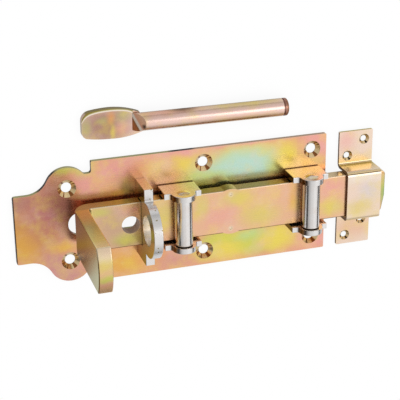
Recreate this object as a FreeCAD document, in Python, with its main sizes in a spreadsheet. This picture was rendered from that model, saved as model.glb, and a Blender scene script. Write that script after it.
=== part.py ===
import FreeCAD, Part
import math
import os
import re
import Sketcher

# Padbolt laid flat, in millimetres. X is the throw, with the bolt's tip at +X.
# Z is away from the door, and the back of the plate lies on Z = 0.
# The origin is the middle of the plate's length and width, on its back face.

doc = FreeCAD.newDocument("padbolt")
sheet = doc.addObject("Spreadsheet::Sheet", "Sizes")
sheet.Label = "driving dimensions"

DIMENSIONS = [
    # Plate
    ("plate_length", 283.0), ("plate_width", 111.0), ("plate_thickness", 4.0),
    ("plate_corner", 1.0), ("wide_length", 215.0), ("tail_width", 62.0),
    ("tail_corner", 2.0), ("tail_fillet", 20.0), ("ear_radius", 19.0),
    ("ear_x", -95.0), ("ear_y", 33.5), ("notch_y", 45.0), ("notch_fillet", 2.5),
    ("plate_hole", 9.0), ("plate_sink", 16.0), ("sink_angle", 90.0),
    ("middle_hole_x", 26.5), ("right_hole_x", 128.0), ("outer_hole_y", 42.0),
    ("slot_width", 21.2), ("slot_left", -95.5), ("slot_right", -26.0),
    # Bolt
    ("bar_width", 40.0), ("bar_thickness", 12.0), ("bar_lift", 0.3),
    ("bar_tip_x", 193.0), ("lug_face_x", -93.0), ("lug_height", 106.0),
    ("lug_crown", 38.0), ("lug_corner", 1.5), ("bend_inside", 3.5),
    ("handle_play", 0.3), ("handle_hole_x", -44.7), ("bar_edge", 1.0),
    ("tip_corner", 4.0), ("tip_taper", 3.0), ("tip_taper_width", 16.0),
    ("bulge_x", 45.5), ("bulge_length", 16.0), ("bulge_height", 1.1),
    ("punch_mark", 2.6), ("punch_depth", 0.5), ("punch_inset", 4.0),
    ("punch_taper", 30.0),
    # Roller brackets
    ("bracket_length", 32.8), ("left_bracket_x", 0.2), ("right_bracket_x", 117.9),
    ("bracket_sheet", 5.0), ("bracket_base", 4.5), ("bracket_gap", 42.8),
    ("shoulder_height", 27.0), ("nose_radius", 10.5), ("nose_fillet", 2.5),
    ("bracket_bend", 1.0), ("bracket_inner_bend", 0.6), ("bracket_rim", 0.6),
    # Rollers and axles
    ("roller_diameter", 15.5), ("roller_length", 41.6), ("roller_lift", 0.3),
    ("roller_edge", 0.6), ("axle_diameter", 10.0), ("running_clearance", 0.05),
    ("seat_clearance", 0.03), ("axle_head", 11.6), ("axle_proud", 1.6),
    # Staple
    ("staple_x", -31.2), ("staple_thickness", 8.0), ("staple_width", 70.0),
    ("staple_slot", 42.0), ("staple_slot_top", 21.6), ("staple_shoulder", 32.0),
    ("ring_height", 37.5), ("ring_radius", 24.0), ("eye_radius", 13.2),
    ("staple_fillet", 1.5), ("staple_rim", 0.6),
    # Keeper
    ("keeper_x", 171.3), ("keeper_y", -0.9), ("keeper_length", 32.5), ("keeper_sheet", 2.5),
    ("keeper_span", 42.6), ("keeper_room", 21.4), ("keeper_width", 110.0),
    ("keeper_bend", 2.0), ("keeper_corner", 1.0), ("keeper_hole", 5.5),
    ("keeper_sink", 9.6), ("keeper_hole_x", 8.0), ("keeper_inset", 8.7),
    ("keeper_far_inset", 23.0),
    # Pull handle
    ("rod_diameter", 15.6), ("handle_length", 181.2), ("handle_x", -80.0),
    ("handle_y", 87.5), ("handle_yaw", -0.4), ("blade_length", 43.3), ("blade_width", 26.4),
    ("blade_thickness", 5.5), ("blade_slope", 9.6), ("blade_end_width", 20.8),
    ("blade_wide_x", 24.0), ("blade_far_neck_x", 50.0), ("blade_near_neck_x", 56.0),
    ("blade_bow", 110.0), ("blade_shoulder", 70.0), ("blade_far_corner", 8.5),
    ("blade_near_corner", 5.5), ("blade_cone", 18.0),
    ("groove_inset", 3.4), ("groove_width", 1.4), ("groove_depth", 0.7), ("handle_tip", 1.6),
]

for row, (alias, value) in enumerate(DIMENSIONS, start=1):
    sheet.set(f"A{row}", alias)
    sheet.set(f"B{row}", str(value))
    sheet.setAlias(f"B{row}", alias)
doc.recompute()

TOLERANCE = 0.001
MARGIN = "1"
ALIASES = {alias for alias, _ in DIMENSIONS}

# Heights above the door that several pieces share
BAR_BACK = "(plate_thickness + bracket_base + bar_lift)"
BAR_FRONT = f"({BAR_BACK} + bar_thickness)"
AXLE_HEIGHT = f"({BAR_FRONT} + roller_lift + roller_diameter / 2)"


def bound(expression):
    """Put the sheet's name before each alias in an expression."""
    return re.sub(r"[a-z_]+", lambda word: f"{sheet.Name}.{word[0]}" if word[0] in ALIASES else word[0],
                  expression)


def size(expression):
    """The value of an expression in the driving dimensions."""
    return float(sheet.evalExpression(bound(expression)))


def bind(target, prop, expression):
    target.setExpression(prop, bound(expression))


def new_body(label, x="0", y="0", z="0", yaw="0"):
    """A body with its place on the part bound to the sheet."""
    body = doc.addObject("PartDesign::Body", label)
    body.Label = label
    bind(body, "Placement", f"create(<<placement>>; create(<<vector>>; {x}; {y}; {z}); "
                            f"create(<<rotation>>; {yaw}; 0; 0))")
    return body


def sketch(body, role, name, offset="0"):
    """An empty sketch on one of the body's origin planes."""
    drawing = body.newObject("Sketcher::SketchObject", name)
    plane = next(item for item in body.Origin.OriginFeatures if item.Role == role)
    drawing.AttachmentSupport = (plane, [""])
    drawing.MapMode = "FlatFace"
    bind(drawing, "AttachmentOffset.Base.z", offset)
    return drawing


def hold(drawing, expression, kind, *target):
    """Add a dimension to a sketch and bind it to an expression."""
    index = drawing.addConstraint(Sketcher.Constraint(kind, *target, size(expression)))
    bind(drawing, f"Constraints[{index}]", expression)


def hold_point(drawing, geometry, vertex, place):
    """Hold one point of a sketch at a pair of expressions."""
    hold(drawing, place[0], "DistanceX", -1, 1, geometry, vertex)
    hold(drawing, place[1], "DistanceY", -1, 1, geometry, vertex)


def arc_between(start, end, radius):
    """The counter-clockwise arc from start to end, under half a turn."""
    chord = end - start
    to_centre = FreeCAD.Vector(-chord.y, chord.x, 0).normalize()
    centre = start + chord * 0.5 + to_centre * math.sqrt(max(radius**2 - chord.Length**2 / 4, 0))
    first, last = (math.atan2(end_point.y - centre.y, end_point.x - centre.x)
                   for end_point in (start, end))
    circle = Part.Circle(centre, FreeCAD.Vector(0, 0, 1), radius)
    return Part.ArcOfCircle(circle, first, last if last > first else last + 2 * math.pi)


def outline(drawing, points, bows_out=None, bows_in=None):
    """A counter-clockwise outline through pairs of expressions.

    bows_out and bows_in give the radius of each side that is an arc.
    """
    bows_out, bows_in = bows_out or {}, bows_in or {}
    places = [FreeCAD.Vector(size(x), size(y), 0) for x, y in points]
    sides = []
    for index, start in enumerate(places):
        end = places[(index + 1) % len(places)]
        if index in bows_out:
            shape, first, last = arc_between(start, end, size(bows_out[index])), 1, 2
        elif index in bows_in:
            shape, first, last = arc_between(end, start, size(bows_in[index])), 2, 1
        else:
            shape, first, last = Part.LineSegment(start, end), 1, 2
        sides.append((drawing.addGeometry(shape), first, last))
    for index, (side, first, last) in enumerate(sides):
        following, its_first, _ = sides[(index + 1) % len(sides)]
        drawing.addConstraint(Sketcher.Constraint("Coincident", side, last, following, its_first))
        hold_point(drawing, side, first, points[index])
    for index, radius in {**bows_out, **bows_in}.items():
        hold(drawing, radius, "Radius", sides[index][0])


def box_outline(drawing, left, right, bottom, top):
    outline(drawing, [(left, bottom), (right, bottom), (right, top), (left, top)])


def circles(drawing, centres, radius):
    """Circles of one radius with their centres at pairs of expressions."""
    for place in centres:
        centre = FreeCAD.Vector(size(place[0]), size(place[1]), 0)
        index = drawing.addGeometry(Part.Circle(centre, FreeCAD.Vector(0, 0, 1), size(radius)))
        hold_point(drawing, index, 3, place)
        hold(drawing, radius, "Radius", index)


def pad(body, name, profile, length, symmetric=False):
    feature = body.newObject("PartDesign::Pad", name)
    feature.Profile = profile
    bind(feature, "Length", length)
    if symmetric:
        feature.SideType = "Symmetric"
    doc.recompute()
    return feature


def pocket(body, name, profile):
    """A cut right through the body, both ways from the sketch."""
    feature = body.newObject("PartDesign::Pocket", name)
    feature.Profile = profile
    feature.SideType = "Symmetric"
    feature.Type = "ThroughAll"
    doc.recompute()
    return feature


def turned(body, name, kind, profile, axis):
    """A Revolution or Groove right round one of the sketch's axes."""
    feature = body.newObject(f"PartDesign::{kind}", name)
    feature.Profile = profile
    feature.ReferenceAxis = (profile, [axis])
    feature.Angle = 360
    doc.recompute()
    return feature


def sunk_holes(body, name, profile, diameter, sink):
    """Countersunk screw holes from the sketch down through the sheet."""
    feature = body.newObject("PartDesign::Hole", name)
    feature.Profile = profile
    feature.ThreadType = "None"
    feature.DepthType = "ThroughAll"
    feature.HoleCutType = "Countersink"
    feature.HoleCutCustomValues = True
    bind(feature, "Diameter", diameter)
    bind(feature, "HoleCutDiameter", sink)
    bind(feature, "HoleCutCountersinkAngle", "sink_angle")
    doc.recompute()
    return feature


def round_edges(body, name, base, radius, chosen):
    """Fillet the edges of a feature that the chosen test picks."""
    picked = [f"Edge{index}" for index, edge in enumerate(base.Shape.Edges, start=1) if chosen(edge)]
    if not picked:
        raise ValueError(f"no edges for {name}")
    feature = body.newObject("PartDesign::Fillet", name)
    feature.Base = (base, picked)
    bind(feature, "Radius", radius)
    doc.recompute()
    return feature


def middle(edge):
    return edge.valueAt((edge.FirstParameter + edge.LastParameter) / 2)


def runs_along(edge, axis):
    """Whether an edge is straight and parallel to one of the axes."""
    if not isinstance(edge.Curve, Part.Line):
        return False
    return abs(getattr(edge.tangentAt(edge.FirstParameter), axis)) > 1 - TOLERANCE


def is_round(edge, radius):
    """Whether an edge is part of a circle of the given radius."""
    return isinstance(edge.Curve, Part.Circle) and near(edge.Curve.Radius, radius)


def near(value, expression):
    return abs(value - size(expression)) < TOLERANCE


def both_sides(x, y):
    """The same place on both sides of the throw."""
    return [(x, y), (x, f"-({y})")]


def back_plate():
    """Plate with two ears, a narrow tail and the slot for the pull handle."""
    body = new_body("back_plate")
    left, right, half = "-plate_length / 2", "plate_length / 2", "plate_width / 2"
    step = "plate_length / 2 - wide_length"

    wide = sketch(body, "XY_Plane", "wide_outline")
    box_outline(wide, step, right, f"-{half}", half)
    pad(body, "wide_part", wide, "plate_thickness")
    tail = sketch(body, "XY_Plane", "tail_outline")
    box_outline(tail, left, step, "-tail_width / 2", "tail_width / 2")
    pad(body, "tail", tail, "plate_thickness")
    neck = sketch(body, "XY_Plane", "neck_outline")
    box_outline(neck, "ear_x", step, "-notch_y", "notch_y")
    pad(body, "neck", neck, "plate_thickness")
    ears = sketch(body, "XY_Plane", "ear_outline")
    circles(ears, both_sides("ear_x", "ear_y"), "ear_radius")
    base = pad(body, "ears", ears, "plate_thickness")

    base = round_edges(body, "tail_fillets", base, "tail_fillet", lambda edge: (
        runs_along(edge, "z") and near(abs(middle(edge).y), "tail_width / 2")
        and middle(edge).x > size(left) + TOLERANCE))
    base = round_edges(body, "tail_corners", base, "tail_corner", lambda edge: (
        runs_along(edge, "z") and near(middle(edge).x, left)))
    base = round_edges(body, "notch_fillets", base, "notch_fillet", lambda edge: (
        runs_along(edge, "z") and near(abs(middle(edge).y), "notch_y")))
    round_edges(body, "plate_corners", base, "plate_corner", lambda edge: (
        runs_along(edge, "z") and near(abs(middle(edge).y), half)))

    screws = sketch(body, "XY_Plane", "screw_centres", "plate_thickness")
    places = (both_sides("ear_x", "ear_y") + both_sides("middle_hole_x", "outer_hole_y")
              + both_sides("right_hole_x", "outer_hole_y"))
    circles(screws, places, "plate_hole / 2")
    sunk_holes(body, "screw_holes", screws, "plate_hole", "plate_sink")

    first_end, last_end = "slot_left + slot_width / 2", "slot_right - slot_width / 2"
    ends = sketch(body, "XY_Plane", "slot_ends")
    circles(ends, [(first_end, "0"), (last_end, "0")], "slot_width / 2")
    pocket(body, "slot_end_cuts", ends)
    between = sketch(body, "XY_Plane", "slot_sides")
    box_outline(between, first_end, last_end, "-slot_width / 2", "slot_width / 2")
    pocket(body, "slot_side_cut", between)
    return body


def bolt_bar():
    """Flat bar with one end turned up into the lug."""
    body = new_body("bolt_bar")
    half = "bar_width / 2"
    lug_inside = "(lug_face_x + bar_thickness)"

    side = sketch(body, "XZ_Plane", "side_outline")
    outline(side, [("lug_face_x", BAR_BACK), ("bar_tip_x", BAR_BACK), ("bar_tip_x", BAR_FRONT),
                   (lug_inside, BAR_FRONT), (lug_inside, "lug_height"), ("lug_face_x", "lug_height")])
    base = pad(body, "bar_and_lug", side, "bar_width", symmetric=True)
    base = round_edges(body, "outer_bend", base, "bend_inside + bar_thickness", lambda edge: (
        runs_along(edge, "y") and near(middle(edge).x, "lug_face_x") and near(middle(edge).z, BAR_BACK)))
    base = round_edges(body, "inner_bend", base, "bend_inside", lambda edge: (
        runs_along(edge, "y") and near(middle(edge).x, lug_inside) and near(middle(edge).z, BAR_FRONT)))

    crown = sketch(body, "YZ_Plane", "crown_outline")
    reach = f"({half} + {MARGIN})"
    spring = f"lug_height - lug_crown + sqrt(lug_crown ^ 2 - {reach} ^ 2)"
    above = f"lug_height + {MARGIN}"
    outline(crown, [(f"-{reach}", spring), (reach, spring), (reach, above), (f"-{reach}", above)],
            bows_in={0: "lug_crown"})
    base = pocket(body, "crown_cut", crown)
    base = round_edges(body, "lug_corners", base, "lug_corner", lambda edge: (
        runs_along(edge, "x") and middle(edge).z > size(BAR_FRONT) + TOLERANCE))

    tip = sketch(body, "XY_Plane", "tip_outline")
    taper_start, beyond = f"tip_taper_width - {half}", f"bar_tip_x + {MARGIN}"
    below = f"-{half} - {MARGIN}"
    outline(tip, [("bar_tip_x - tip_taper", f"-{half}"), ("bar_tip_x - tip_taper", below),
                  (beyond, below), (beyond, taper_start), ("bar_tip_x", taper_start)])
    base = pocket(body, "tip_taper_cut", tip)
    base = round_edges(body, "tip_corners", base, "tip_corner", lambda edge: (
        runs_along(edge, "z") and near(abs(middle(edge).y), half)
        and middle(edge).x > size("bar_tip_x - tip_taper") - TOLERANCE))
    round_edges(body, "long_edges", base, "bar_edge", lambda edge: (
        runs_along(edge, "x") and near(abs(middle(edge).y), half)))

    bulges = sketch(body, "XY_Plane", "bulge_outlines", BAR_BACK)
    foot, rise, span = f"({half} - bar_edge)", "(bulge_height + bar_edge)", "(bulge_length / 2)"
    bow = f"({span} ^ 2 + {rise} ^ 2) / (2 * {rise})"
    outline(bulges, [(f"bulge_x + {span}", foot), (f"bulge_x - {span}", foot)], bows_out={0: bow})
    outline(bulges, [(f"bulge_x - {span}", f"-{foot}"), (f"bulge_x + {span}", f"-{foot}")],
            bows_out={0: bow})
    pad(body, "swaged_bulges", bulges, "bar_thickness")

    hole = sketch(body, "XY_Plane", "handle_hole_outline")
    circles(hole, [("handle_hole_x", "0")], "(rod_diameter + handle_play) / 2")
    pocket(body, "handle_hole_cut", hole)
    marks = sketch(body, "XY_Plane", "punch_marks", BAR_FRONT)
    circles(marks, both_sides("bulge_x", f"{half} - punch_inset"), "punch_mark / 2")
    dents = body.newObject("PartDesign::Pocket", "punch_dents")
    dents.Profile = marks
    bind(dents, "Length", "punch_depth")
    bind(dents, "TaperAngle", "-punch_taper")
    doc.recompute()
    return body


def roller_bracket(label, x):
    """Sheet folded up on both sides of the bolt to carry one roller."""
    body = new_body(label, x)
    inside, outside = "(bracket_gap / 2)", "(bracket_gap / 2 + bracket_sheet)"
    floor_top = "(plate_thickness + bracket_base)"

    section = sketch(body, "YZ_Plane", "folded_outline")
    box_outline(section, f"-{outside}", outside, "plate_thickness", "shoulder_height")
    pad(body, "folded_block", section, "bracket_length", symmetric=True)
    nose = sketch(body, "XZ_Plane", "nose_outline")
    circles(nose, [("0", AXLE_HEIGHT)], "nose_radius")
    base = pad(body, "noses", nose, f"2 * {outside}", symmetric=True)
    base = round_edges(body, "nose_fillets", base, "nose_fillet", lambda edge: (
        runs_along(edge, "y") and near(middle(edge).z, "shoulder_height")
        and abs(middle(edge).x) < size("bracket_length / 2") - TOLERANCE))
    round_edges(body, "outer_bends", base, "bracket_bend", lambda edge: (
        runs_along(edge, "x") and near(middle(edge).z, "plate_thickness")))

    channel = sketch(body, "YZ_Plane", "channel_outline")
    box_outline(channel, f"-{inside}", inside, floor_top, f"{AXLE_HEIGHT} + nose_radius + {MARGIN}")
    base = pocket(body, "channel", channel)
    base = round_edges(body, "inner_bends", base, "bracket_inner_bend", lambda edge: (
        runs_along(edge, "x") and near(middle(edge).z, floor_top)))
    round_edges(body, "rims", base, "bracket_rim", lambda edge: (
        near(abs(middle(edge).y), outside) and middle(edge).z > size("plate_thickness + bracket_bend")
        and not runs_along(edge, "x")
        or near(abs(middle(edge).y), outside) and near(middle(edge).z, "shoulder_height")))

    seat = sketch(body, "XZ_Plane", "axle_seat")
    circles(seat, [("0", AXLE_HEIGHT)], "axle_diameter / 2 + seat_clearance")
    pocket(body, "axle_holes", seat)
    return body


def roller(label, x):
    """Sleeve that turns on the axle and bears on the bolt's face."""
    body = new_body(label, x, "0", AXLE_HEIGHT)
    rings = sketch(body, "XZ_Plane", "sleeve_outline")
    circles(rings, [("0", "0")], "roller_diameter / 2")
    circles(rings, [("0", "0")], "axle_diameter / 2 + running_clearance")
    base = pad(body, "sleeve", rings, "roller_length", symmetric=True)
    round_edges(body, "sleeve_edges", base, "roller_edge", lambda edge: (
        is_round(edge, "roller_diameter / 2")))
    return body


def axle(label, x):
    """Pin with its ends set into low domes outside the bracket."""
    body = new_body(label, x, "0", AXLE_HEIGHT)
    shaft, head, face = "axle_diameter / 2", "axle_head / 2", "(bracket_gap / 2 + bracket_sheet)"
    end = f"({face} + axle_proud)"
    dome = "((axle_head / 2) ^ 2 + axle_proud ^ 2) / (2 * axle_proud)"
    profile = sketch(body, "XY_Plane", "half_outline")
    outline(profile, [("0", f"-{end}"), (head, f"-{face}"), (shaft, f"-{face}"),
                      (shaft, face), (head, face), ("0", end)], bows_out={0: dome, 4: dome})
    turned(body, "pin", "Revolution", profile, "V_Axis")
    return body


def staple():
    """Plate on edge that bridges the bolt and ends in the padlock's eye."""
    body = new_body("staple", "staple_x")
    half = "(staple_width / 2)"
    legs = sketch(body, "YZ_Plane", "leg_outline")
    box_outline(legs, f"-{half}", half, "plate_thickness", "staple_shoulder")
    pad(body, "legs", legs, "staple_thickness", symmetric=True)
    ring = sketch(body, "YZ_Plane", "ring_outline")
    circles(ring, [("0", "ring_height")], "ring_radius")
    base = pad(body, "ring", ring, "staple_thickness", symmetric=True)
    round_edges(body, "ring_fillets", base, "staple_fillet", lambda edge: (
        runs_along(edge, "x") and near(middle(edge).z, "staple_shoulder")
        and abs(middle(edge).y) < size(half) - TOLERANCE))

    slot = sketch(body, "YZ_Plane", "bolt_slot_outline")
    box_outline(slot, "-staple_slot / 2", "staple_slot / 2", f"plate_thickness - {MARGIN}", "staple_slot_top")
    pocket(body, "bolt_slot", slot)
    eye = sketch(body, "YZ_Plane", "eye_outline")
    circles(eye, [("0", "ring_height")], "eye_radius")
    base = pocket(body, "eye", eye)
    round_edges(body, "ring_rims", base, "staple_rim", lambda edge: (
        is_round(edge, "ring_radius") or is_round(edge, "eye_radius")))
    return body


def keeper():
    """Strap folded over the bolt, with a flange on each side."""
    body = new_body("keeper", "keeper_x", "keeper_y")
    sheet_size, inside, outside = "keeper_sheet", "(keeper_span / 2)", "(keeper_span / 2 + keeper_sheet)"
    edge_y, top = "(keeper_width / 2)", "(keeper_room + keeper_sheet)"
    strap = sketch(body, "YZ_Plane", "strap_outline")
    outline(strap, [(inside, "0"), (edge_y, "0"), (edge_y, sheet_size), (outside, sheet_size), (outside, top),
                    (f"-{outside}", top), (f"-{outside}", sheet_size), (f"-{edge_y}", sheet_size),
                    (f"-{edge_y}", "0"), (f"-{inside}", "0"), (f"-{inside}", "keeper_room"),
                    (inside, "keeper_room")])
    base = pad(body, "strap", strap, "keeper_length", symmetric=True)
    inner_folds = ((inside, "keeper_room"), (outside, sheet_size))
    outer_folds = ((outside, top), (inside, "0"))
    for name, folds, radius in (("inner_folds", inner_folds, "keeper_bend"),
                                ("outer_folds", outer_folds, "keeper_bend + keeper_sheet")):
        base = round_edges(body, name, base, radius, lambda edge: (
            runs_along(edge, "x") and any(near(abs(middle(edge).y), y) and near(middle(edge).z, z)
                                          for y, z in folds)))
    round_edges(body, "flange_corners", base, "keeper_corner", lambda edge: (
        runs_along(edge, "z") and near(abs(middle(edge).y), edge_y)))
    screws = sketch(body, "XY_Plane", "screw_centres", sheet_size)
    outer_y, inner_y = f"({edge_y} - keeper_inset)", f"({edge_y} - keeper_far_inset)"
    circles(screws, [("keeper_hole_x", outer_y), ("-keeper_hole_x", inner_y),
                     ("keeper_hole_x", f"-{inner_y}"), ("-keeper_hole_x", f"-{outer_y}")],
            "keeper_hole / 2")
    sunk_holes(body, "screw_holes", screws, "keeper_hole", "keeper_sink")
    return body


def pull_handle():
    """Round rod beaten flat at one end, lying beside the plate."""
    body = new_body("pull_handle", "handle_x", "handle_y", "rod_diameter / 2", "handle_yaw")
    rod, flat = "(rod_diameter / 2)", "(blade_thickness - rod_diameter / 2)"
    wide, end = "(blade_width / 2)", "(blade_end_width / 2)"

    blade = sketch(body, "XY_Plane", "blade_outline", f"-{rod}")
    outline(blade, [("0", end), ("0", f"-{end}"), ("blade_wide_x", f"-{wide}"),
                    ("blade_near_neck_x", f"-{rod}"), ("blade_far_neck_x", rod), ("blade_wide_x", wide)],
            bows_out={1: "blade_bow", 2: "blade_shoulder", 4: "blade_shoulder", 5: "blade_bow"})
    pad(body, "blade", blade, "blade_thickness")
    cone = sketch(body, "XY_Plane", "shoulder_cone")
    start, reach = "(blade_near_neck_x - blade_cone)", "(blade_width / 2 + rod_diameter / 2)"
    outline(cone, [("blade_near_neck_x", rod), ("blade_near_neck_x", reach), (start, reach)])
    turned(body, "shoulders", "Groove", cone, "H_Axis")

    shank = sketch(body, "YZ_Plane", "rod_outline", "blade_length")
    circles(shank, [("0", "0")], rod)
    pad(body, "rod", shank, "handle_length - blade_length")
    slope = sketch(body, "XZ_Plane", "beaten_slope")
    above, run = f"({rod} + {MARGIN})", "(blade_length + blade_slope)"
    outline(slope, [("blade_length", flat), (run, rod), (run, above), ("blade_length", above)])
    pocket(body, "beaten_face", slope)
    return body


def finish_handle(body):
    """Soften the blade and cut the ring groove near the rod's end."""
    base = body.Tip
    for corner, side in (("blade_far_corner", 1), ("blade_near_corner", -1)):
        base = round_edges(body, f"{corner}_round", base, corner, lambda edge: (
            runs_along(edge, "z") and near(middle(edge).x, "0") and middle(edge).y * side > 0))
    round_edges(body, "rod_end", base, "handle_tip", lambda edge: (
        is_round(edge, "rod_diameter / 2") and near(middle(edge).x, "handle_length")))
    ring = sketch(body, "XY_Plane", "ring_groove_outline")
    right = "handle_length - groove_inset"
    bottom, top = "rod_diameter / 2 - groove_depth", f"rod_diameter / 2 + {MARGIN}"
    box_outline(ring, f"{right} - groove_width", right, bottom, top)
    turned(body, "ring_groove", "Groove", ring, "H_Axis")


def build():
    back_plate()
    bolt_bar()
    staple()
    for side in ("left", "right"):
        place = f"{side}_bracket_x"
        roller_bracket(f"bracket_{side}", place)
        roller(f"roller_{side}", place)
        axle(f"axle_{side}", place)
    keeper()
    finish_handle(pull_handle())
    doc.recompute()


def export():
    """Check every object, then write one file for each body."""
    for item in doc.Objects:
        if "Invalid" in item.State or "Error" in item.State:
            raise RuntimeError(f"{item.Name} failed: {item.State}")
    os.makedirs("parts", exist_ok=True)
    for body in doc.findObjects("PartDesign::Body"):
        if body.Shape.isNull() or not body.Shape.isValid() or len(body.Shape.Solids) != 1:
            raise RuntimeError(f"{body.Label} is not one sound solid")
        body.Shape.exportStep(f"parts/{body.Label}.step")


build()
export()
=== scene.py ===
import bpy
from mathutils import Matrix, Vector

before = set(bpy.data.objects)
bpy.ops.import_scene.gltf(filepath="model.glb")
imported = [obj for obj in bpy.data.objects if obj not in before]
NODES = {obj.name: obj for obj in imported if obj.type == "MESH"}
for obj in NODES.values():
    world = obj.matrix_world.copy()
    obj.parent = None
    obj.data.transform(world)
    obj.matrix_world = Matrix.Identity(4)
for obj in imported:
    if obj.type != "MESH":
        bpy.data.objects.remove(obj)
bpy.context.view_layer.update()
MM = 0.001
X, Y, Z = range(3)

# The camera of the photograph, in the part's frame
CAMERA_PLACE = Vector((-275.0, 418.5, 948.6)) * MM
CAMERA_AIM = Vector((0.2776, -0.3834, -0.8809))
CAMERA_UP = Vector((0.1256, 0.9235, -0.3624))
CAMERA_SIGHT = 20.0
SENSOR_WIDTH = 36.0
FOCAL_PIXELS = 1220.4
PHOTO_PIXELS = 400.0

# The softbox lies where the plate's face mirrors the camera's view
SOFTBOX = (0.28, -0.38, 0.88)

# Colour of the studio's light, and what the black cards leave of it
STUDIO_LIGHT = (1.0, 0.99, 0.97, 1.0)
CARD_LEVEL = 0.08

# The floor in metres, and its levels, where 1 is white
FLOOR_SIZE = 6.0
FLOOR_DROP = 0.5 * MM
FLOOR_GREY = (0.86, 0.85, 0.83, 1.0)
FLOOR_MIRRORED = 0.8
SHADOW_REACH = 25.0 * MM
SHADOW_SEEN = 0.94
SHADOW_MIRRORED = 0.5

# Depth of the finest relief in the metal, and how metallic its matt places stay
RELIEF_DEPTH = 0.2 * MM
MATT_METALLIC = 0.2

# Reach of the patches of tint across a face, in millimetres, and beside the lug
PATCH_DEPTH = 30.0
PATCH_DEPTH_BY_LUG = 24.0

# Places on the part that the tints go by, in millimetres in the part's frame
PLATE_LEFT = min(corner[X] for corner in NODES["back_plate"].bound_box) / MM
PLATE_FACE = 4.0
BAR_FACE = 20.0
BAR_HOLE = (-44.7, 0.0, 0.0)
BAR_HOLE_RADIUS = 7.95
PUNCH_X = 45.5
PUNCH_Y = 16.0
PUNCH_Z = 18.0
LUG_CROWN_FOOT = 92.0
BLADE_WIDEST_X = -56.0
BLADE_WIDEST_FROM_END = 24.0
BLADE_FAR_Y = 100.7
BLADE_BOW = 3.5
BLADE_ROUNDING = 5.5
BLADE_NECK_X = -37.0
HANDLE_TIP_X = 97.0

# Tints of the zinc plating, and of the painted shade and highlights, in screen values from 0 to 255
TINTS = {
    "amber": (206, 130, 52), "apricot": (232, 166, 102), "blush": (238, 204, 194),
    "bronze": (158, 124, 62), "brown": (150, 96, 54), "copper": (190, 112, 66),
    "cream": (236, 220, 192), "gold": (232, 178, 78), "leaf": (138, 184, 112),
    "lemon": (238, 216, 96), "lilac": (214, 206, 212), "lime": (204, 210, 96),
    "mauve": (206, 148, 146), "mint": (194, 216, 148), "olive": (142, 124, 62),
    "peach": (232, 184, 150), "pearl": (240, 226, 212), "pink": (236, 166, 162),
    "plum": (192, 124, 120), "rose": (228, 168, 138), "sage": (186, 180, 120),
    "shell": (236, 214, 196), "silver": (226, 224, 224), "sky": (188, 220, 206),
    "near_black": (44, 30, 20), "straw": (222, 202, 118), "tan": (204, 170, 140),
    "tarnish": (200, 146, 82), "taupe": (172, 132, 120), "umber": (112, 76, 34),
    "wheat": (246, 218, 168),
}


def linear(name):
    """A tint as linear colour with alpha."""
    channels = [value / 255 for value in TINTS[name]]
    return [c / 12.92 if c <= 0.04045 else ((c + 0.055) / 1.055) ** 2.4 for c in channels] + [1.0]


def flat_spots(height, depth, rows):
    """Patches on a flat face, from rows of tint, x, y, reach along x, reach along y and strength."""
    return [(tint, (x, y, height), (reach_x, reach_y, depth), strength)
            for tint, x, y, reach_x, reach_y, strength in rows]


class Nodes:
    """Short calls for building one node tree."""

    def __init__(self, tree):
        self.tree = tree
        self.tree.nodes.clear()

    def add(self, kind, inputs=None, **settings):
        """A new node, whose inputs are given as values or as sockets to link."""
        node = self.tree.nodes.new("ShaderNode" + kind)
        for key, value in settings.items():
            setattr(node, key, value)
        for key, value in (inputs or {}).items():
            if isinstance(value, bpy.types.NodeSocket):
                self.tree.links.new(value, node.inputs[key])
            else:
                node.inputs[key].default_value = value
        return node

    def math(self, operation, *values):
        return self.add("Math", dict(enumerate(values)), operation=operation).outputs[0]

    def times(self, first, *others):
        """Product of masks or levels."""
        for other in others:
            first = self.math("MULTIPLY", first, other)
        return first

    def vector(self, operation, *values):
        node = self.add("VectorMath", dict(enumerate(values)), operation=operation)
        return node.outputs["Value" if operation in ("LENGTH", "DOT_PRODUCT") else "Vector"]

    def blend(self, factor, first, second, mode="MIX"):
        inputs = {0: factor, 6: first, 7: second}
        return self.add("Mix", inputs, data_type="RGBA", blend_type=mode).outputs[2]

    def noise(self, vector, scale, detail=3.0, roughness=0.5, output="Fac"):
        inputs = {"Vector": vector, "Scale": scale, "Detail": detail, "Roughness": roughness}
        return self.add("TexNoise", inputs).outputs[output]

    def ramp(self, value, low, high, out_low=0.0, out_high=1.0):
        """Smooth step of a value between two limits."""
        inputs = {"Value": value, "From Min": low, "From Max": high, "To Min": out_low, "To Max": out_high}
        return self.add("MapRange", inputs, interpolation_type="SMOOTHSTEP").outputs["Result"]

    def band(self, value, centre, outer, inner):
        """Mask of the values round a centre, full at the inner distance and gone at the outer one."""
        return self.ramp(self.math("ABSOLUTE", self.math("SUBTRACT", value, centre)), outer, inner)

    def split(self, vector):
        return self.add("SeparateXYZ", {0: vector}).outputs

    def grey(self, value):
        return self.add("CombineColor", {0: value, 1: value, 2: value}).outputs[0]


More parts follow.
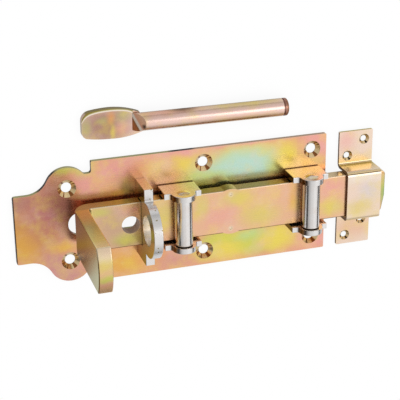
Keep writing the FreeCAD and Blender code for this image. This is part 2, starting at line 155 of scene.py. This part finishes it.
class Finish(Nodes):
    """The node tree of one material on the part."""

    def __init__(self, name):
        self.material = bpy.data.materials.new(name)
        self.material.use_nodes = True
        super().__init__(self.material.node_tree)
        self.coordinates = self.add("TexCoord").outputs
        self.where = self.vector("MULTIPLY", self.coordinates["Object"], (1 / MM, 1 / MM, 1 / MM))
        self.along, self.across, self.height = self.split(self.where)
        self.facing = self.split(self.coordinates["Normal"])
        self.matt = None

    def paint(self, colour, tint, *masks):
        """A tint, by name or as a run of tints, laid over a colour where all the masks hold."""
        over = linear(tint) if isinstance(tint, str) else tint
        return self.blend(self.times(*masks), colour, over)

    def spot(self, where, centre, reach, strength=1.0):
        """Soft-edged mask round a centre."""
        offset = self.vector("SUBTRACT", where, centre)
        scaled = self.vector("MULTIPLY", offset, tuple(1 / length for length in reach))
        return self.ramp(self.vector("LENGTH", scaled), 1.1, 0.1, out_high=strength)

    def patches(self, colour, where, spots):
        """Soft-edged patches over a colour, from rows of tint, centre, reach and strength."""
        for tint, centre, reach, strength in spots:
            colour = self.paint(colour, tint, self.spot(where, centre, reach, strength))
        return colour

    def wavy(self, reach, scale):
        """The position pushed about by noise, so that patches have ragged outlines."""
        push = self.noise(self.where, scale, roughness=0.55, output="Color")
        centred = self.vector("SUBTRACT", push, (0.5, 0.5, 0.5))
        return self.vector("ADD", self.where, self.vector("MULTIPLY", centred, (reach, reach, reach)))

    def clouds(self, where, scale, low, high, strength):
        """Mask of large soft clouds."""
        return self.ramp(self.noise(where, scale, detail=4.0, roughness=0.6), low, high, out_high=strength)

    def toward(self, axis, sign, low=0.6, high=0.9):
        """Mask of the faces that look one way along an axis."""
        return self.ramp(self.math("MULTIPLY", self.facing[axis], sign), low, high)

    def rounded(self, axis, sign):
        """Mask of the rounded edges from the upper face to the side that looks one way along an axis."""
        return self.times(self.toward(axis, sign, low=0.15, high=0.35), self.ramp(self.facing[Z], 0.2, 0.4))

    def edge(self, radius, low=0.03, high=0.25):
        """Mask of the edges, for rubbed wear and painted highlight."""
        bevel = self.add("Bevel", {"Radius": radius * MM}, samples=4).outputs[0]
        true = self.add("NewGeometry").outputs["Normal"]
        return self.ramp(self.math("SUBTRACT", 1.0, self.vector("DOT_PRODUCT", bevel, true)), low, high)

    def fade(self, value, stops):
        """A run of tints along a value, from rows of value and tint that go from low to high."""
        low, high = stops[0][0], stops[-1][0]
        inputs = {"Value": value, "From Min": low, "From Max": high}
        node = self.add("ValToRGB", {0: self.add("MapRange", inputs).outputs["Result"]})
        elements = node.color_ramp.elements
        while len(elements) < len(stops):
            elements.new(0.5)
        for element, (place, tint) in zip(elements, stops):
            element.position = (place - low) / (high - low)
            element.color = linear(tint)
        return node.outputs["Color"]

    def countersunk(self, colour, marks):
        """Tints of the conical holes: cut metal with the chatter marks of the cutter."""
        cone = self.times(self.ramp(self.facing[Z], 0.95, 0.85), self.ramp(self.facing[Z], 0.3, 0.5))
        chatter = self.ramp(self.noise(self.coordinates["Normal"], scale=3.4, detail=2.0), 0.56, 0.6)
        cut = self.blend(chatter, linear("wheat"), linear(marks))
        return self.paint(colour, cut, cone)

    def bored(self, colour, centre, radius):
        """Matt tint of the wall of a round hole through the part."""
        offset = self.vector("MULTIPLY", self.vector("SUBTRACT", self.where, centre), (1.0, 1.0, 0.0))
        inside = self.ramp(self.vector("LENGTH", offset), radius + 0.4, radius + 0.2)
        self.matt = self.times(inside, self.ramp(self.facing[Z], 0.9, 0.7))
        return self.paint(colour, "tan", self.matt)

    def painted_crevice_shade(self, reach):
        """Mask of the places that are shut in, to be darkened there as painted shade."""
        open_air = self.add("AmbientOcclusion", {"Distance": reach * MM}, samples=8).outputs["AO"]
        return self.ramp(open_air, 0.75, 0.2)

    def metal(self, colour, roughness, bump, strength=0.08):
        """The finished material, fully metallic but for its matt places."""
        relief = self.add("Bump", {"Height": bump, "Strength": strength, "Distance": RELIEF_DEPTH})
        metallic = 1.0
        if self.matt is not None:
            metallic = self.ramp(self.matt, 0.0, 1.0, out_low=1.0, out_high=MATT_METALLIC)
        shader = self.add("BsdfPrincipled", {"Base Color": colour, "Metallic": metallic,
                                             "Roughness": roughness, "Normal": relief.outputs[0]})
        self.tree.links.new(shader.outputs[0], self.add("OutputMaterial").inputs["Surface"])
        return self.material


def grain(finish):
    """Fine streaks drawn along X, mixed with a little pitting."""
    drawn = finish.vector("MULTIPLY", finish.where, (0.06, 1.4, 1.4))
    streaks = finish.noise(drawn, scale=1.3, detail=5.0, roughness=0.6)
    pits = finish.noise(finish.where, scale=0.9, detail=4.0, roughness=0.65)
    return finish.math("ADD", finish.times(streaks, 0.6), finish.times(pits, 0.4))


def plated(name, base, spots, roughness=(0.2, 0.3), ragged=12.0, scale=0.05, details=None, edge_wear_and_highlight=0.3):
    """Zinc plating whose rainbow tint drifts over the steel in soft patches."""
    finish = Finish(name)
    colour = finish.patches(linear(base), finish.wavy(ragged, scale), spots)
    drift = finish.clouds(finish.where, scale=0.06, low=0.42, high=0.68, strength=0.3)
    colour = finish.paint(colour, "lemon", drift)
    elsewhere = finish.vector("ADD", finish.where, (90.0, 40.0, 15.0))
    flush = finish.clouds(elsewhere, scale=0.05, low=0.45, high=0.7, strength=0.2)
    colour = finish.paint(colour, "blush", flush)
    texture = grain(finish)
    colour = finish.blend(0.2, colour, finish.grey(texture), "OVERLAY")
    # Painted shade: the shut-in places are darkened toward near-black.
    colour = finish.paint(colour, "near_black", finish.painted_crevice_shade(3.0), 0.75)
    # Pale tint on the edges: rubbed wear, which on the handle is raised into a painted highlight.
    colour = finish.paint(colour, "pearl", finish.edge(0.7), edge_wear_and_highlight)
    if details is not None:
        colour = details(finish, colour)
    return finish.metal(colour, finish.ramp(texture, 0.3, 0.7, *roughness), texture)


def plate_details(finish, colour):
    """Cut holes, near-black painted shade on the sides that face the tail and on the tail's end, and a far
    side with a painted reflection as a dark mark in its middle.
    """
    colour = finish.countersunk(colour, "brown")
    # Painted shade: the sides that face the tail and the tail's end are painted near-black.
    painted_dark_sides = finish.times(finish.toward(X, -1.0, low=0.2, high=0.4), finish.ramp(finish.facing[Z], 0.4, 0.2))
    painted_dark_end = finish.ramp(finish.along, PLATE_LEFT + 1.0, PLATE_LEFT + 0.4)
    colour = finish.paint(colour, "near_black", finish.math("MAXIMUM", painted_dark_sides, painted_dark_end))
    # Painted reflection: the dark mark in the middle of the far side, between sage toward the tail and tan
    # toward the right.
    side = finish.fade(finish.along, [(-140.0, "sage"), (-6.0, "sage"), (-2.0, "near_black"), (16.0, "near_black"),
                                      (20.0, "tan"), (146.0, "tan")])
    return finish.paint(colour, side, finish.toward(Y, 1.0, low=0.8, high=0.95))


def plate_material():
    spots = flat_spots(PLATE_FACE, PATCH_DEPTH, [
        ("tarnish", -128.0, 0.0, 44.0, 44.0, 0.9),
        ("gold", -132.0, -12.0, 20.0, 26.0, 0.7),
        ("taupe", -134.0, 24.0, 20.0, 10.0, 0.7),
        ("plum", -112.0, 14.0, 34.0, 40.0, 1.0),
        ("mauve", -108.0, -34.0, 18.0, 22.0, 0.9),
        ("gold", -100.0, -20.0, 18.0, 8.0, 0.7),
        ("lime", -96.0, 54.0, 22.0, 9.0, 0.8),
        ("mauve", -96.0, -47.0, 32.0, 14.0, 0.9),
        ("lime", -79.0, 49.0, 12.0, 12.0, 0.8),
        ("gold", -62.0, 36.0, 18.0, 18.0, 0.6),
        ("pink", -54.0, 46.0, 30.0, 16.0, 0.8),
        ("pink", -78.0, 34.0, 22.0, 18.0, 0.7),
        ("copper", -62.0, 21.0, 34.0, 8.0, 0.6),
        # Painted shade on the plate beside the staple's foot.
        ("umber", -42.0, 23.0, 9.0, 13.0, 0.8),
        ("apricot", -30.0, 38.0, 18.0, 18.0, 0.5),
        ("wheat", -12.0, 40.0, 16.0, 20.0, 0.6),
        ("pink", -12.0, 54.0, 30.0, 8.0, 0.7),
        ("lemon", 9.0, 42.0, 16.0, 18.0, 0.8),
        ("lime", 18.0, 28.0, 18.0, 12.0, 0.8),
        ("gold", -50.0, -42.0, 40.0, 22.0, 0.8),
        ("apricot", -24.0, -38.0, 20.0, 12.0, 0.8),
        ("mauve", 0.0, -46.0, 26.0, 12.0, 0.5),
        ("lime", 66.0, -38.0, 64.0, 18.0, 0.7),
        ("lime", 30.0, -40.0, 16.0, 16.0, 0.8),
        ("lemon", 50.0, -44.0, 30.0, 18.0, 0.8),
        ("lime", 48.0, -31.0, 24.0, 8.0, 0.8),
        ("mint", 70.0, -32.0, 18.0, 8.0, 0.9),
        ("lime", 78.0, -42.0, 30.0, 14.0, 0.7),
        ("peach", 84.0, -42.0, 12.0, 8.0, 0.7),
        ("lemon", 98.0, -40.0, 26.0, 18.0, 0.8),
        ("lemon", 70.0, 44.0, 56.0, 16.0, 0.9),
        ("lime", 60.0, 33.0, 50.0, 22.0, 0.8),
        ("mint", 54.0, 31.0, 50.0, 24.0, 1.0),
        ("sky", 64.0, 34.0, 56.0, 23.0, 1.0),
        ("lime", 22.0, 22.0, 34.0, 14.0, 0.9),
        ("mint", 32.0, 24.0, 28.0, 12.0, 0.9),
        ("lime", 92.0, 30.0, 12.0, 14.0, 0.6),
        ("lemon", 104.0, 38.0, 16.0, 20.0, 0.95),
        ("pink", 134.0, 46.0, 20.0, 24.0, 0.9),
        ("pink", 60.0, 59.0, 110.0, 6.0, 0.9),
        ("pink", 12.0, 56.0, 22.0, 9.0, 0.8),
        ("lemon", 122.0, 30.0, 24.0, 10.0, 0.5),
        ("pink", 130.0, -46.0, 20.0, 20.0, 0.9),
    ])
    return plated("plate_plating", "rose", spots, details=plate_details)


def bar_details(finish, colour):
    """Sides with plating tints partly painted as reflection, rounded edges with painted dark reflections
    and a painted highlight, punch marks with a painted highlight, and the hole beside the lug.
    """
    # Tints of the faces toward +Y along the bar and up the lug: plating tints, partly painted reflection.
    run = finish.fade(finish.along, [(-70.0, "sage"), (-20.0, "straw"), (0.0, "bronze"), (108.0, "bronze"),
                                     (124.0, "wheat"), (180.0, "wheat")])
    rise = finish.fade(finish.height, [(22.0, "straw"), (58.0, "sage"), (86.0, "straw"), (102.0, "wheat")])
    side = finish.blend(finish.ramp(finish.height, 20.0, 24.0), run, rise)
    colour = finish.paint(colour, side, finish.toward(Y, 1.0))
    # Painted shade: faces toward -X darken toward the bottom.
    painted_shade_outside = finish.fade(finish.height, [(10.0, "umber"), (56.0, "olive"), (100.0, "sage")])
    colour = finish.paint(colour, painted_shade_outside, finish.toward(X, -1.0))
    # Painted reflection: dark lines on the rounded edges of the lug's crown, and on the bar's rounded edges
    # toward -Y below the lug.
    crown = finish.ramp(finish.height, LUG_CROWN_FOOT, LUG_CROWN_FOOT + 5.0)
    colour = finish.paint(colour, "umber", finish.rounded(X, -1.0), crown)
    below_lug = finish.ramp(finish.height, 30.0, 26.0)
    colour = finish.paint(colour, "umber", finish.rounded(Y, -1.0), below_lug)
    # Painted highlight along the rounded edges toward +Y.
    colour = finish.paint(colour, "cream", finish.rounded(Y, 1.0), 0.7)
    # Painted highlight on the punch marks.
    punch_highlights = [("cream", (PUNCH_X, y, PUNCH_Z), (3.5, 3.5, 8.0), 1.0) for y in (PUNCH_Y, -PUNCH_Y)]
    colour = finish.patches(colour, finish.where, punch_highlights)
    return finish.bored(colour, BAR_HOLE, BAR_HOLE_RADIUS)


def bar_material():
    near_hole = flat_spots(BAR_FACE, PATCH_DEPTH_BY_LUG, [
        ("tan", -58.0, 0.0, 34.0, 40.0, 0.95),
        ("lime", -72.0, 15.0, 14.0, 7.0, 0.55),
        ("pink", -44.0, 14.0, 14.0, 8.0, 0.5),
        ("olive", -46.0, -15.0, 20.0, 9.0, 0.5),
        ("lime", -50.0, -12.0, 18.0, 9.0, 0.5),
    ])
    bar = flat_spots(BAR_FACE, PATCH_DEPTH, [
        ("straw", -16.0, 4.0, 14.0, 22.0, 0.9),
        ("straw", 18.0, 8.0, 10.0, 18.0, 0.9),
        ("straw", 52.0, 12.0, 22.0, 12.0, 0.9),
        ("straw", 72.0, -7.0, 26.0, 16.0, 0.9),
        ("pink", 34.0, -4.0, 24.0, 14.0, 0.5),
        ("gold", 104.0, 6.0, 8.0, 20.0, 0.6),
        ("pink", 140.0, 10.0, 16.0, 12.0, 0.7),
        ("straw", 142.0, -10.0, 16.0, 12.0, 0.9),
    ])
    lug_end = [
        ("straw", (-87.0, 8.0, 104.0), (20.0, 12.0, 10.0), 0.9),
        ("pink", (-84.0, 16.0, 104.0), (8.0, 6.0, 8.0), 0.7),
        ("lime", (-87.0, -5.0, 105.0), (12.0, 5.0, 8.0), 0.8),
        ("rose", (-87.0, -13.0, 104.0), (12.0, 7.0, 8.0), 0.8),
    ]
    tip = [
        ("leaf", (194.0, 0.0, 18.0), (9.0, 22.0, 14.0), 1.0),
        ("copper", (193.0, 19.0, 18.0), (8.0, 5.0, 12.0), 0.7),
    ]
    spots = near_hole + bar + lug_end + tip
    return plated("bar_plating", "peach", spots, ragged=8.0, scale=0.06, details=bar_details)


def bracket_details(finish, colour):
    """Bare sheared rims along the top of the ears, faces toward +Y paled as painted highlight, and feet and
    ends darkened as painted shade.
    """
    # Painted highlight: faces toward +Y are paled.
    colour = finish.paint(colour, "pearl", finish.toward(Y, 1.0))
    # Painted shade: the feet near the plate are darkened.
    colour = finish.paint(colour, "umber", finish.ramp(finish.height, 6.6, 5.2))
    rim = finish.ramp(finish.height, 21.0, 25.0)
    colour = finish.paint(colour, "silver", rim, finish.ramp(finish.facing[Z], 0.1, 0.5))
    # Painted shade: faces toward -X are darkened.
    return finish.paint(colour, "umber", finish.toward(X, -1.0, low=0.4, high=0.9))


def bracket_material():
    spots = [("amber", (-14.0, 26.0, 14.0), (16.0, 8.0, 12.0), 0.6),
             ("lemon", (6.0, 26.0, 30.0), (12.0, 8.0, 10.0), 0.6),
             ("gold", (104.0, 26.0, 20.0), (30.0, 10.0, 22.0), 0.5)]
    return plated("bracket_plating", "apricot", spots, details=bracket_details)


def staple_details(finish, colour):
    """Worn ring and shoulder tops partly as painted highlight, faces toward +Y paled as painted highlight,
    and a face toward the lug that is olive and darkens downward as painted shade.
    """
    # Painted shade: the face toward the lug darkens toward the plate.
    face = finish.fade(finish.height, [(4.0, "brown"), (24.0, "olive"), (60.0, "sage")])
    colour = finish.paint(colour, face, finish.toward(X, -1.0))
    # Painted highlight: faces toward +Y are paled.
    colour = finish.paint(colour, "pearl", finish.toward(Y, 1.0))
    # Silver on the ring and the shoulder tops, with dull olive spots: wear, and partly painted highlight.
    dull = finish.ramp(finish.noise(finish.where, scale=0.3, detail=2.0), 0.65, 0.7)
    wear_and_highlight = finish.blend(dull, linear("silver"), linear("olive"))
    across_ring = finish.ramp(finish.math("ABSOLUTE", finish.facing[X]), 0.9, 0.6)
    colour = finish.paint(colour, wear_and_highlight, across_ring, finish.ramp(finish.height, 28.0, 33.0))
    return finish.paint(colour, wear_and_highlight, finish.toward(Z, 1.0), finish.ramp(finish.height, 20.0, 30.0))


def staple_material():
    spots = [("gold", (-31.0, 36.0, 10.0), (30.0, 8.0, 12.0), 0.7)]
    return plated("staple_plating", "wheat", spots, details=staple_details)


def keeper_details(finish, colour):
    """Cut holes, ends toward the plate darkened as painted shade, and folds that pale as they rise, as
    painted shade low and painted highlight high.
    """
    colour = finish.countersunk(colour, "near_black")
    # Painted shade: faces toward -X are darkened.
    colour = finish.paint(colour, "umber", finish.toward(X, -1.0, low=0.8, high=0.95))
    # Painted shade and highlight: faces toward +Y go from straw low to pearl high.
    rise = finish.fade(finish.height, [(4.0, "straw"), (14.0, "wheat"), (26.0, "pearl")])
    return finish.paint(colour, rise, finish.toward(Y, 1.0, low=0.8, high=0.95))


def keeper_material():
    spots = [("peach", (171.0, -40.0, 2.0), (30.0, 20.0, 12.0), 0.7),
             ("pink", (162.0, 46.0, 2.0), (14.0, 16.0, 12.0), 0.5),
             # Painted highlight on the top fold.
             ("pearl", (171.0, 18.0, 26.0), (40.0, 10.0, 8.0), 1.0),
             ("straw", (168.0, -12.0, 24.0), (16.0, 12.0, 10.0), 0.7),
             ("lilac", (176.0, 4.0, 24.0), (14.0, 14.0, 10.0), 0.6)]
    return plated("keeper_plating", "shell", spots, roughness=(0.24, 0.34), details=keeper_details)


def blade_edge(finish, colour):
    """Painted highlight as a bright line inside the blade's bowed far edge, and an olive rim below it as
    painted shade.
    """
    from_widest = finish.math("DIVIDE", finish.math("SUBTRACT", finish.along, BLADE_WIDEST_X),
                              BLADE_WIDEST_FROM_END)
    from_widest = finish.math("ABSOLUTE", from_widest)
    bow = finish.times(finish.math("POWER", from_widest, 2.0), BLADE_BOW)
    rounding = finish.times(finish.math("POWER", from_widest, 8.0), BLADE_ROUNDING)
    far_edge = finish.math("SUBTRACT", BLADE_FAR_Y, finish.math("ADD", bow, rounding))
    inset = finish.math("SUBTRACT", far_edge, finish.across)
    # Painted highlight: a pearl band inside the far edge, with olive at the very edge as painted shade.
    painted_edge_highlight = finish.fade(inset, [(0.4, "olive"), (1.1, "sage"), (1.6, "pearl"), (2.3, "pearl"),
                                 (2.8, "tan")])
    flat = finish.times(finish.toward(Z, 1.0, low=0.85, high=0.95),
                        finish.ramp(finish.along, BLADE_NECK_X + 2.0, BLADE_NECK_X))
    colour = finish.paint(colour, painted_edge_highlight, flat, finish.ramp(inset, 2.8, 2.3),
                          finish.ramp(finish.across, 89.0, 92.0))
    # Painted shade: the lower part of the far side is olive.
    below = finish.ramp(finish.height, 6.2, 5.6)
    return finish.paint(colour, "olive", finish.toward(Y, 1.0, low=0.7, high=0.9), below)


def beaten_slope(finish, colour):
    """Matt slope from blade to rod: brown as painted shade, then rosy past a pale band of painted
    highlight, with a dark spot of painted shadow at the neck.
    """
    start = (0.0, 80.0, 0.0)
    direction = (1.0, 0.45, 0.0)
    slant = finish.vector("DOT_PRODUCT", finish.vector("SUBTRACT", finish.where, start), direction)
    # Brown and copper are painted shade, the pearl band is a painted highlight, and the rosy tints are the
    # slope's own.
    beaten = finish.fade(slant, [(-38.0, "brown"), (-34.0, "copper"), (-31.8, "brown"), (-31.0, "pearl"),
                                 (-29.6, "pearl"), (-28.8, "rose"), (-26.0, "peach"), (-14.0, "blush")])
    finish.matt = finish.times(finish.toward(X, -1.0, low=0.3, high=0.6),
                               finish.ramp(finish.facing[Z], 0.2, 0.4),
                               finish.ramp(finish.along, BLADE_NECK_X - 1.0, BLADE_NECK_X))
    colour = finish.paint(colour, beaten, finish.matt)
    # Painted shadow of a hollow at the neck.
    neck = finish.spot(finish.where, centre=(-28.4, 84.4, 12.0), reach=(2.2, 3.0, 8.0))
    return finish.paint(colour, "near_black", neck)


def rod_marks(finish, colour):
    """Dark matt streak on the rod's far side as painted reflection, and a dark tip from the groove on,
    darkest at the groove as painted shade.
    """
    ragged = finish.wavy(reach=1.5, scale=0.3)
    # Painted reflection: a dark streak along the rod's far side.
    streak = finish.spot(ragged, centre=(7.0, 94.6, 7.2), reach=(17.0, 4.0, 7.5))
    finish.matt = finish.math("MAXIMUM", finish.matt, streak)
    colour = finish.paint(colour, "umber", streak)
    # The tip's own brown, darkest at the groove as painted shade.
    tip = finish.fade(finish.along, [(96.6, "umber"), (97.6, "taupe"), (101.2, "brown")])
    return finish.paint(colour, tip, finish.ramp(finish.along, HANDLE_TIP_X - 0.6, HANDLE_TIP_X))


def handle_details(finish, colour):
    colour = blade_edge(finish, colour)
    colour = beaten_slope(finish, colour)
    return rod_marks(finish, colour)


def handle_material():
    spots = [("taupe", (-60.0, 86.0, 5.0), (34.0, 30.0, 12.0), 1.0),
             ("sage", (-77.0, 86.0, 5.0), (7.0, 12.0, 8.0), 0.7),
             ("sage", (-62.0, 91.0, 5.0), (8.0, 5.0, 8.0), 0.6),
             ("sage", (-44.0, 94.0, 5.0), (10.0, 8.0, 8.0), 0.6),
             ("apricot", (-55.0, 93.0, 5.0), (5.0, 8.0, 8.0), 0.7),
             ("lemon", (-53.5, 80.0, 5.0), (3.5, 9.0, 8.0), 0.6),
             ("rose", (-46.0, 82.0, 5.0), (8.0, 8.0, 8.0), 0.8),
             ("rose", (-10.0, 95.0, 11.0), (44.0, 5.0, 8.0), 0.7),
             ("straw", (64.0, 96.0, 11.0), (62.0, 6.0, 9.0), 0.9),
             ("gold", (60.0, 82.0, 12.0), (60.0, 5.0, 12.0), 0.5)]
    # On the handle the strong pale edge tint is mostly painted highlight.
    return plated("handle_plating", "blush", spots, ragged=4.0, scale=0.12, details=handle_details,
                  edge_wear_and_highlight=0.8)


def axle_material():
    # Painted highlight: silver on the upper part of the axle heads toward +Y.
    spots = [("silver", (60.0, 28.0, 31.0), (200.0, 4.0, 5.0), 0.9)]
    return plated("axle_plating", "straw", spots)


def bright_material():
    """Turned and polished steel with fine rings round the roller."""
    finish = Finish("bright_steel")
    turned = finish.vector("MULTIPLY", finish.where, (0.2, 3.0, 0.2))
    rings = finish.noise(turned, scale=1.6, detail=4.0, roughness=0.6)
    stain = finish.clouds(finish.where, scale=0.12, low=0.4, high=0.75, strength=0.2)
    colour = finish.paint(linear("silver"), "tan", stain)
    # Painted shade: the shut-in places of the roller are darkened.
    colour = finish.paint(colour, "near_black", finish.painted_crevice_shade(3.0))
    roughness = finish.ramp(rings, 0.3, 0.7, out_low=0.14, out_high=0.22)
    return finish.metal(colour, roughness, rings, strength=0.04)


def floor_material():
    """White floor with a faint shadow near the part, darker in the metal than where it is seen."""
    material = bpy.data.materials.new("pale_floor")
    material.use_nodes = True
    nodes = Nodes(material.node_tree)
    rays = nodes.add("LightPath").outputs
    mirrored = nodes.math("MAXIMUM", rays["Is Glossy Ray"], rays["Is Transmission Ray"])
    seen = nodes.math("MAXIMUM", rays["Is Camera Ray"], mirrored)
    open_air = nodes.add("AmbientOcclusion", {"Distance": SHADOW_REACH}, samples=16).outputs["AO"]
    shadow = nodes.ramp(open_air, 0.3, 1.0, out_low=SHADOW_SEEN)
    contact = nodes.ramp(open_air, 0.3, 1.0, out_low=SHADOW_MIRRORED)
    level = nodes.times(shadow, nodes.ramp(mirrored, 0.0, 1.0, out_low=1.0, out_high=contact),
                        nodes.ramp(mirrored, 0.0, 1.0, out_low=1.0, out_high=FLOOR_MIRRORED))
    grey = nodes.add("BsdfDiffuse", {"Color": FLOOR_GREY}).outputs[0]
    white = nodes.add("Emission", {"Color": (1.0, 1.0, 1.0, 1.0), "Strength": level}).outputs[0]
    both = nodes.add("MixShader", {0: seen, 1: grey, 2: white}).outputs[0]
    nodes.tree.links.new(both, nodes.add("OutputMaterial").inputs["Surface"])
    return material


def dress():
    """Give each CAD node its finish."""
    fittings = bracket_material()
    bright = bright_material()
    axles = axle_material()
    finishes = {"back_plate": plate_material(), "bolt_bar": bar_material(), "staple": staple_material(),
                "keeper": keeper_material(), "pull_handle": handle_material()}
    for side in ("left", "right"):
        finishes[f"bracket_{side}"] = fittings
        finishes[f"roller_{side}"] = bright
        finishes[f"axle_{side}"] = axles
    for name, material in finishes.items():
        mesh = NODES[name].data
        mesh.materials.clear()
        mesh.materials.append(material)


def add_floor():
    bpy.ops.mesh.primitive_plane_add(size=FLOOR_SIZE, location=(0.0, 0.0, -FLOOR_DROP))
    floor = bpy.context.object
    floor.name = "floor"
    floor.data.materials.append(floor_material())


def light_studio():
    """A pale room, brightest where the plate mirrors it, with two black cards for the rollers."""
    world = bpy.data.worlds.new("studio")
    bpy.context.scene.world = world
    world.use_nodes = True
    nodes = Nodes(world.node_tree)
    ray = nodes.add("TexCoord").outputs["Generated"]
    across, along, up = nodes.split(ray)
    near = nodes.vector("DOT_PRODUCT", ray, SOFTBOX)
    soft = nodes.ramp(near, 0.4, 0.98, out_low=0.74, out_high=1.02)
    high = nodes.ramp(up, 0.0, 0.4, out_low=0.62)
    left = nodes.ramp(across, -0.9, -0.2, out_low=0.85)
    right = nodes.ramp(across, 0.0, 0.34, out_low=0.86)
    front = nodes.ramp(along, -0.95, -0.5, out_low=0.7)
    left_card = nodes.times(nodes.band(up, centre=0.28, outer=0.22, inner=0.1),
                            nodes.ramp(across, -0.6, -0.75))
    right_card = nodes.times(nodes.band(up, centre=0.2, outer=0.25, inner=0.1),
                             nodes.ramp(across, 0.7, 0.8))
    cards = nodes.times(nodes.band(along, centre=SOFTBOX[Y], outer=0.3, inner=0.2),
                        nodes.math("ADD", left_card, right_card))
    dark = nodes.ramp(cards, 0.0, 1.0, out_low=1.0, out_high=CARD_LEVEL)
    level = nodes.times(soft, high, left, right, front, dark)
    back = nodes.add("Background", {"Color": STUDIO_LIGHT, "Strength": level}).outputs[0]
    nodes.tree.links.new(back, nodes.add("OutputWorld").inputs["Surface"])


def add_panel(name, place, target, width, height, power):
    """A rectangular studio light aimed at a target."""
    data = bpy.data.lights.new(name, "AREA")
    data.shape = "RECTANGLE"
    data.size = width
    data.size_y = height
    data.energy = power
    lamp = bpy.data.objects.new(name, data)
    bpy.context.collection.objects.link(lamp)
    lamp.location = place
    lamp.rotation_euler = (Vector(target) - Vector(place)).to_track_quat("-Z", "Y").to_euler()


def add_camera():
    data = bpy.data.cameras.new("camera")
    data.sensor_width = SENSOR_WIDTH
    data.lens = SENSOR_WIDTH * FOCAL_PIXELS / PHOTO_PIXELS
    data.clip_end = CAMERA_SIGHT
    camera = bpy.data.objects.new("camera", data)
    bpy.context.collection.objects.link(camera)
    back = -CAMERA_AIM.normalized()
    right = CAMERA_UP.cross(back).normalized()
    turn = Matrix((right, back.cross(right), back)).transposed().to_4x4()
    camera.matrix_world = Matrix.Translation(CAMERA_PLACE) @ turn
    bpy.context.scene.camera = camera


dress()
add_floor()
light_studio()
add_panel("strip", place=(0.75, 0.25, 0.95), target=(0.0, 0.0, 0.0), width=0.6, height=0.9, power=2.0)
add_camera()
bpy.context.scene.view_settings.view_transform = "Standard"
